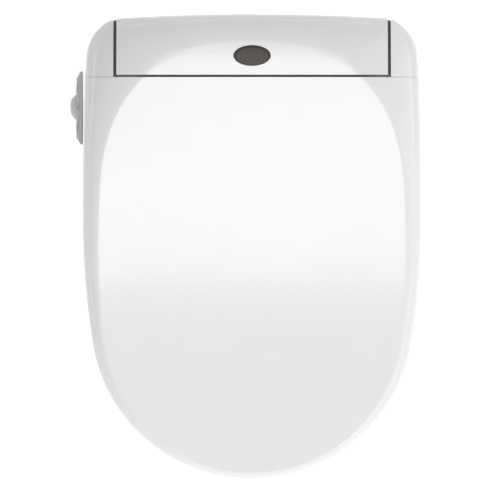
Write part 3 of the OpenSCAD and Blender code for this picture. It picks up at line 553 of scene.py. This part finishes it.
def make_deck():
    """Sloping deck in front of the rear cover, over the nozzles, seen when the lid is up."""
    low, high = (Vector(c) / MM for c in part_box("front_deck"))
    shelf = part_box("base_tray")[1].z / MM + 0.2

    def profile(inset):
        y0, y1, z1 = low.y + inset, high.y - inset, high.z - inset
        turns = [90 * i / DECK_STEPS for i in range(DECK_STEPS + 1)]
        line = [(y0 + (y1 - y0) * (1 - cos(a)), DECK_SPRING_Z + (z1 - DECK_SPRING_Z) * sin(a)) for a in turns]
        return [(y0, shelf)] + line + [(y1, shelf)]

    bm = bmesh.new()
    rims = []
    for inset in (0, DECK_WALL):
        half = COVER_HALF - inset
        left, right = [[bm.verts.new(Vector((x, y, z)) * MM) for y, z in profile(inset)]
                       for x in (-half, half)]
        for k in range(len(left) - 1):
            bm.faces.new((left[k], left[k + 1], right[k + 1], right[k]))
        bm.faces.new(left)
        bm.faces.new(right)
        rims.append([left[0], left[-1], right[-1], right[0]])
    outer, inner = rims
    for i in range(4):
        k = (i + 1) % 4
        bm.faces.new((outer[i], outer[k], inner[k], inner[i]))
    bmesh.ops.recalc_face_normals(bm, faces=bm.faces)
    deck = new_object("front_deck_skin", bm)
    shade_by_angle(deck, 30)
    bevel(deck, 1.0, 3, 40)
    return deck


def make_window():
    lens = oval_rings("window_lens", [(-0.9, -1.2), (-0.35, 0.05), (-0.9, 0.28), (-2.0, 0.42), (-5.0, 0.5)])
    rim = oval_rings("window_rim", [(-0.35, -1.4), (0.2, -1.4), (0.22, 0.05),
                                    (0.05, 0.2), (-0.2, 0.2), (-0.35, 0.0)])
    for piece in (lens, rim):
        shade_by_angle(piece, 40)
    return lens, rim


def rounded_plan(points, radius, steps=6):
    """Closed plan with every corner of a polygon turned into an arc-like curve."""
    out = []
    n = len(points)
    for i in range(n):
        a, b, c = Vector(points[i - 1]), Vector(points[i]), Vector(points[(i + 1) % n])
        r = min(radius, 0.45 * (a - b).length, 0.45 * (c - b).length)
        p, q = b + (a - b).normalized() * r, b + (c - b).normalized() * r
        for s in range(steps + 1):
            t = s / steps
            out.append((1 - t) ** 2 * p + 2 * t * (1 - t) * b + t * t * q)
    return out


POD_HALF_LENGTH = 45.0
FASCIA_GAP, BOARD_GAP = 0.25, 0.8


def make_pod():
    """Side box: a plan with rounded ends, drawn in at its top and bottom."""
    low, high = (Vector(c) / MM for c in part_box("panel_pod"))
    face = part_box("panel_fascia")[0].x / MM + 1.4
    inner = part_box("panel_board")[1].x / MM + 1.8
    plan = [(inner, high.y), (inner - 3, high.y - 1.3), (face, high.y - 7.3), (face, low.y + 6.5),
            (inner - 3, low.y + 1), (inner, low.y)]
    foot = 10.5
    levels = [(foot, 1.6), (foot + 0.5, 0.8), (foot + 1.6, 0.2), (foot + 3, 0), (high.z - 3, 0),
              (high.z - 1.6, 0.2), (high.z - 0.5, 0.8), (high.z, 1.6)]
    centre_y = (low.y + high.y) / 2
    bm = bmesh.new()
    loops = []
    for z, pull in levels:
        loop = []
        for p in rounded_plan(plan, 4):
            x = p.x + pull * min(1.0, (inner - p.x) / 3)
            y = centre_y + (p.y - centre_y) * (1 - pull / POD_HALF_LENGTH)
            loop.append(bm.verts.new(Vector((x, y, z)) * MM))
        loops.append(loop)
    sew(bm, loops)
    bm.faces.new(loops[0])
    bm.faces.new(loops[-1])
    bmesh.ops.remove_doubles(bm, verts=bm.verts, dist=JOIN)
    bmesh.ops.recalc_face_normals(bm, faces=bm.faces)
    pod = new_object("panel_pod_skin", bm)
    fascia_low, fascia_high = (Vector(c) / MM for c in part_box("panel_fascia"))
    recess = block((fascia_low.x - 4, fascia_low.y - FASCIA_GAP, fascia_low.z - FASCIA_GAP),
                   (inner - 4.6, fascia_high.y + FASCIA_GAP, fascia_high.z + FASCIA_GAP))
    foot_block = block((inner - 4, low.y + 9, 1.0), (inner, high.y - 15, foot + 2))
    cut(pod, foot_block, operation="UNION")
    board_low, board_high = (Vector(c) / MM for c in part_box("panel_board"))
    pocket = block((fascia_low.x - 4, board_low.y - BOARD_GAP, board_low.z - BOARD_GAP),
                   (board_high.x + 0.9, board_high.y + BOARD_GAP, board_high.z + BOARD_GAP))
    cut(pod, recess)
    cut(pod, pocket)
    shade_by_angle(pod, 35)
    bevel(pod, 0.3, 2, 50)
    return pod


KNOB_SIDES, FLUTES, FLUTE_DEPTH = 144, 36, 0.22


def make_knob():
    """Turned knob with a grip of fine flutes and one raised mark."""
    low, high = (Vector(c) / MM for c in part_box("knob"))
    centre = (low + high) / 2
    skirt = (high.z - low.z) / 2
    foot = low.x + 6.6
    grip_low, grip_high = low.x + 1.9, low.x + 4.4
    profile = [(foot, skirt - 0.3), (foot - 0.3, skirt), (foot - 0.9, skirt), (low.x + 5.2, skirt * 0.955),
               (grip_high, skirt * 0.885), (low.x + 3.6, skirt * 0.825), (low.x + 2.8, skirt * 0.765),
               (grip_low, skirt * 0.69), (low.x + 1.2, skirt * 0.6), (low.x + 0.6, skirt * 0.5),
               (low.x + 0.2, skirt * 0.38), (low.x, skirt * 0.28), (low.x + 0.15, skirt * 0.2)]
    turns = [2 * math.pi * i / KNOB_SIDES for i in range(KNOB_SIDES)]
    bm = bmesh.new()
    loops = []
    for x, r in profile:
        depth = FLUTE_DEPTH if grip_low <= x <= grip_high else 0.0
        loop = []
        for a in turns:
            reach = r - depth * (0.5 + 0.5 * math.cos(FLUTES * a))
            loop.append(bm.verts.new(Vector((x, centre.y + reach * math.sin(a),
                                             centre.z + reach * math.cos(a))) * MM))
        loops.append(loop)
    sew(bm, loops)
    bm.faces.new(loops[0])
    bm.faces.new(loops[-1])
    bmesh.ops.recalc_face_normals(bm, faces=bm.faces)
    knob = new_object("knob_grip", bm)
    mark = block((low.x + 0.3, centre.y - 0.45, centre.z + 3.4),
                 (low.x + 2.2, centre.y + 0.45, centre.z + 7.6))
    shaft = rod_x(2.5, foot - 0.1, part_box("knob")[1].x / MM, centre.y, centre.z, 48)
    cut(knob, mark, shaft, operation="UNION")
    shade_by_angle(knob, 30)
    return knob


# ---------------------------------------------------------------- materials

def material(name):
    mat = bpy.data.materials.new(name)
    mat.use_nodes = True
    tree = mat.node_tree
    return mat, tree, tree.nodes["Principled BSDF"]


def link(tree, a, b):
    tree.links.new(a, b)


def noise(tree, scale, detail=3.0):
    coords = tree.nodes.new("ShaderNodeTexCoord")
    n = tree.nodes.new("ShaderNodeTexNoise")
    n.inputs["Scale"].default_value = scale
    n.inputs["Detail"].default_value = detail
    link(tree, coords.outputs["Object"], n.inputs["Vector"])
    return n


def ranged(tree, source, low, high, from_low=0.3, from_high=0.7):
    r = tree.nodes.new("ShaderNodeMapRange")
    r.inputs["From Min"].default_value = from_low
    r.inputs["From Max"].default_value = from_high
    r.inputs["To Min"].default_value = low
    r.inputs["To Max"].default_value = high
    link(tree, source, r.inputs["Value"])
    return r.outputs["Result"]


def tinted(tree, source, colour, spread):
    """Colour that varies a little round one shade."""
    ramp = tree.nodes.new("ShaderNodeValToRGB")
    ramp.color_ramp.elements[0].position = 0.3
    ramp.color_ramp.elements[1].position = 0.7
    ramp.color_ramp.elements[0].color = [max(0.0, c * (1 - spread)) for c in colour[:3]] + [1]
    ramp.color_ramp.elements[1].color = [min(1.0, c * (1 + spread)) for c in colour[:3]] + [1]
    link(tree, source, ramp.inputs["Fac"])
    return ramp.outputs["Color"]


def worn_edges(tree, base, colour, amount):
    """Base colour rubbed a little lighter along convex edges."""
    shape = tree.nodes.new("ShaderNodeNewGeometry")
    rub = noise(tree, 240.0, 3.0)
    edge = ranged(tree, shape.outputs["Pointiness"], 0.0, amount, 0.52, 0.6)
    patchy = tree.nodes.new("ShaderNodeMath")
    patchy.operation = "MULTIPLY"
    link(tree, edge, patchy.inputs[0])
    link(tree, ranged(tree, rub.outputs["Fac"], 0.4, 1.0), patchy.inputs[1])
    mix = tree.nodes.new("ShaderNodeMix")
    mix.data_type = "RGBA"
    link(tree, patchy.outputs[0], mix.inputs["Factor"])
    link(tree, base, mix.inputs["A"])
    mix.inputs["B"].default_value = [min(1.0, c + 0.3 * (1 - c)) for c in colour[:3]] + [1]
    return mix.outputs["Result"]


def bump(tree, shader, height, strength, distance):
    b = tree.nodes.new("ShaderNodeBump")
    b.inputs["Strength"].default_value = strength
    b.inputs["Distance"].default_value = distance
    link(tree, height, b.inputs["Height"])
    link(tree, b.outputs["Normal"], shader.inputs["Normal"])


def plastic(name, colour, rough, spread=0.015, grain=900.0, depth=0.00002, coat=0.0, specular=0.5, metal=0.0,
            wear=0.25):
    """Moulded plastic: faint flow marks in the colour, uneven polish and a fine moulded grain."""
    mat, tree, shader = material(name)
    flow = noise(tree, 14.0, 2.0)
    polish = noise(tree, 60.0, 4.0)
    fine = noise(tree, grain, 2.0)
    shade = tinted(tree, flow.outputs["Fac"], colour, spread)
    link(tree, worn_edges(tree, shade, colour, wear), shader.inputs["Base Color"])
    uneven = ranged(tree, polish.outputs["Fac"], rough * 0.85, min(1.0, rough * 1.15))
    link(tree, uneven, shader.inputs["Roughness"])
    bump(tree, shader, fine.outputs["Fac"], 0.35, depth)
    shader.inputs["Specular IOR Level"].default_value = specular
    shader.inputs["Coat Weight"].default_value = coat
    shader.inputs["Coat Roughness"].default_value = 0.08
    shader.inputs["Metallic"].default_value = metal
    return mat


def metal(name, colour, rough, brushed=False):
    mat, tree, shader = material(name)
    coords = tree.nodes.new("ShaderNodeTexCoord")
    stretch = tree.nodes.new("ShaderNodeMapping")
    stretch.inputs["Scale"].default_value = (40, 900, 900) if brushed else (300, 300, 300)
    n = tree.nodes.new("ShaderNodeTexNoise")
    n.inputs["Scale"].default_value = 1.0
    n.inputs["Detail"].default_value = 4.0
    link(tree, coords.outputs["Object"], stretch.inputs["Vector"])
    link(tree, stretch.outputs["Vector"], n.inputs["Vector"])
    shade = tinted(tree, n.outputs["Fac"], colour, 0.08)
    link(tree, worn_edges(tree, shade, colour, 0.5), shader.inputs["Base Color"])
    link(tree, ranged(tree, n.outputs["Fac"], rough * 0.7, rough * 1.3), shader.inputs["Roughness"])
    bump(tree, shader, n.outputs["Fac"], 0.2, 0.00002)
    shader.inputs["Metallic"].default_value = 1.0
    return mat


MATERIALS = {
    "white_shell": plastic("gloss_white", (0.83, 0.83, 0.835), 0.16, 0.008, coat=0.3),
    "seat_plastic": plastic("seat_white", (0.82, 0.82, 0.82), 0.22, 0.008, coat=0.2),
    "under_plastic": plastic("satin_white", (0.72, 0.72, 0.725), 0.45, 0.02, grain=1400, depth=0.00004),
    "soft_pad": plastic("soft_pad_rubber", (0.55, 0.55, 0.56), 0.7, 0.05, grain=1600, depth=0.00006),
    "dark_pad": plastic("dark_rubber", (0.03, 0.03, 0.032), 0.75, 0.2, grain=1600, depth=0.00006),
    "bush_plastic": plastic("acetal", (0.5, 0.52, 0.55), 0.35, 0.03),
    "foil": plastic("foil_film", (0.65, 0.3, 0.06), 0.3, 0.1),
    # Black moulding, and also the painted shade of the dark strips in the gaps round the rear cover; its
    # colour is lightened to the shade of those gaps
    "dark_plastic": plastic("black_moulding_and_gap_shade", (0.075, 0.072, 0.07), 0.5, 0.15, grain=1500, depth=0.00005),
    "board": plastic("solder_mask", (0.01, 0.12, 0.05), 0.35, 0.12),
    "window": plastic("smoked_window", (0.048, 0.033, 0.03), 0.3, 0.03, depth=0.000002, specular=0.3,
                      wear=0.0),
    "steel": metal("plated_steel", (0.55, 0.55, 0.57), 0.28, True),
    "brass": metal("brass_metal", (0.66, 0.46, 0.2), 0.3),
    "chrome": metal("chrome_plate", (0.75, 0.75, 0.77), 0.12),
    "ivory_plastic": plastic("ivory_moulding", (0.7, 0.66, 0.56), 0.5, 0.04, grain=1300, depth=0.00004),
    "nozzle_plastic": plastic("nozzle_polish", (0.72, 0.72, 0.73), 0.2, 0.02),
    "panel_grey": plastic("panel_satin", (0.5, 0.5, 0.505), 0.42, 0.03, grain=1500, depth=0.00004),
    "panel_face": plastic("panel_silver", (0.54, 0.54, 0.55), 0.38, 0.03, metal=0.1),
    "hose": plastic("hose_silicone", (0.5, 0.6, 0.66), 0.3, 0.04),
    "button": plastic("button_satin", (0.62, 0.62, 0.63), 0.4, 0.02),
}


def dress(piece, slot, body=None, *replaced):
    piece.data.materials.clear()
    piece.data.materials.append(MATERIALS[slot])
    for face in piece.data.polygons:
        face.material_index = 0
    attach(piece, body)
    if replaced:
        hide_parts(*replaced)
    return piece


# ---------------------------------------------------------------- the object

dress(make_lid(), "white_shell", "lid", "lid_shell")
right_ear = make_ear()
left_ear = mirrored_copy(right_ear, "lid_ear_left_skin")
shade_by_angle(left_ear, 38)
bevel(left_ear, 0.5, 3, 50)
dress(right_ear, "white_shell", "lid", "lid_ear_right")
dress(left_ear, "white_shell", "lid", "lid_ear_left")
dress(make_cover(), "white_shell", "housing", "rear_cover")
# Dark strips in the gaps beside the rear cover: painted shade
for side in (-1, 1):
    dress(make_gap_shade_strip(side), "dark_plastic", "housing")
# Dark strip in the seam between the lid and the rear cover, a little below the surface: painted shade for the
# gap
front_gap_shade_strip = block((-COVER_HALF, SEAM_Y - 0.4, 104), (COVER_HALF, COVER_FRONT - 0.1, 115.5))
front_gap_shade_strip.name = "gap_shade_strip_front"
bevel(front_gap_shade_strip, 0.4, 2, 50)
dress(front_gap_shade_strip, "dark_plastic", "housing")
dress(make_seat(), "seat_plastic", "seat", "seat_top_shell")
dress(make_deck(), "white_shell", "housing", "front_deck")
window_lens, window_rim = make_window()
dress(window_lens, "window", "housing", "ir_window")
dress(window_rim, "dark_plastic", "housing")
dress(make_pod(), "panel_grey", "housing", "panel_pod")
dress(make_knob(), "panel_face", "knob", "knob")

FINE_EDGE = 0.2 * MM
SLOT_OF = {s["node"]: s["material_slot"] for s in frame["record"]["subparts"]}
for name, node in nodes.items():
    if node.hide_render:
        continue
    for index in range(max(1, len(node.material_slots))):
        if not node.material_slots:
            node.data.materials.append(MATERIALS[SLOT_OF[name]])
        node.material_slots[index].material = MATERIALS[SLOT_OF[name]]
    edge = node.modifiers.new("fine_edge", "BEVEL")
    edge.width = FINE_EDGE
    edge.segments = 1
    edge.limit_method = "ANGLE"
    edge.angle_limit = math.radians(50)
    edge.use_clamp_overlap = True

# ---------------------------------------------------------------- floor, light and camera

floor_bm = bmesh.new()
bmesh.ops.create_grid(floor_bm, x_segments=8, y_segments=8, size=30)
floor = new_object("floor", floor_bm)
floor_mat, floor_tree, floor_shader = material("pale_floor")
floor_tone = noise(floor_tree, 3.0)
link(floor_tree, tinted(floor_tree, floor_tone.outputs["Fac"], (0.93, 0.93, 0.93), 0.005),
     floor_shader.inputs["Base Color"])
floor_shader.inputs["Roughness"].default_value = 0.9
floor_shader.inputs["Emission Color"].default_value = (1, 1, 1, 1)
floor_shader.inputs["Emission Strength"].default_value = 0.5
floor.data.materials.append(floor_mat)
floor.location.z = -0.0005


def area_light(name, width, length, power, position, target):
    data = bpy.data.lights.new(name, "AREA")
    data.shape, data.size, data.size_y, data.energy = "RECTANGLE", width, length, power
    lamp = bpy.data.objects.new(name, data)
    lamp.location = position
    lamp.rotation_mode = "QUATERNION"
    lamp.rotation_quaternion = (Vector(target) - Vector(position)).to_track_quat("-Z", "Y")
    lamp.visible_camera = False
    bpy.context.scene.collection.objects.link(lamp)


# The softbox overhead is in two parts, and the rear one is dimmer, so its reflection fades on the rear
# cover; front_rim lights the rim band of the lid
area_light("overhead", 1.4, 1.77, 29, (0.0, -0.185, 3.1), (0.0, -0.185, 0))
area_light("overhead_rear", 1.4, 0.55, 4.8, (0.0, 0.975, 3.1), (0.0, 0.975, 0))
area_light("front_strip", 3.0, 0.35, 2.5, (0, -3.0, 0.55), (0, -0.3, 0.05))
area_light("front_rim", 3.2, 1.0, 11, (0.4, -3.07, 1.32), (0, -0.35, 0.05))

# Studio surroundings: brighter in front of the object and to its right, darker behind and to its left
WORLD_BASE, WORLD_RIGHT, WORLD_REAR, WORLD_LEAST = 0.535, 0.33, -0.3, 0.05
world = bpy.data.worlds.new("studio")
world.use_nodes = True
world_tree = world.node_tree
direction = world_tree.nodes.new("ShaderNodeTexCoord")
axes = world_tree.nodes.new("ShaderNodeSeparateXYZ")
link(world_tree, direction.outputs["Generated"], axes.inputs[0])


def world_math(operation, a, b, c=0.0):
    step = world_tree.nodes.new("ShaderNodeMath")
    step.operation = operation
    for socket, value in zip(step.inputs, (a, b, c)):
        if isinstance(value, (int, float)):
            socket.default_value = value
        else:
            link(world_tree, value, socket)
    return step.outputs[0]


sideways = world_math("MULTIPLY_ADD", axes.outputs["X"], WORLD_RIGHT, WORLD_BASE)
backwards = world_math("MULTIPLY_ADD", axes.outputs["Y"], WORLD_REAR, sideways)
world_strength = world_math("MAXIMUM", backwards, WORLD_LEAST)
background = world_tree.nodes["Background"]
background.inputs["Color"].default_value = (1, 1, 1, 1)
link(world_tree, world_strength, background.inputs["Strength"])
bpy.context.scene.world = world

PIXEL = 520 / 464.95
IMAGE_PIXELS = 492
VIEW_WIDTH = IMAGE_PIXELS * PIXEL * MM
PLANE_Z = 0.085
DISTANCE, SENSOR = 16.0, 36.0
camera_data = bpy.data.cameras.new("camera")
camera_data.sensor_width = SENSOR
camera_data.lens = SENSOR * DISTANCE / VIEW_WIDTH
camera_data.clip_end = 100
camera = bpy.data.objects.new("camera", camera_data)
camera.location = (-6.8 * MM, -199.0 * MM, PLANE_Z + DISTANCE)
bpy.context.scene.collection.objects.link(camera)
bpy.context.scene.camera = camera
bpy.context.scene.view_settings.view_transform = "Standard"
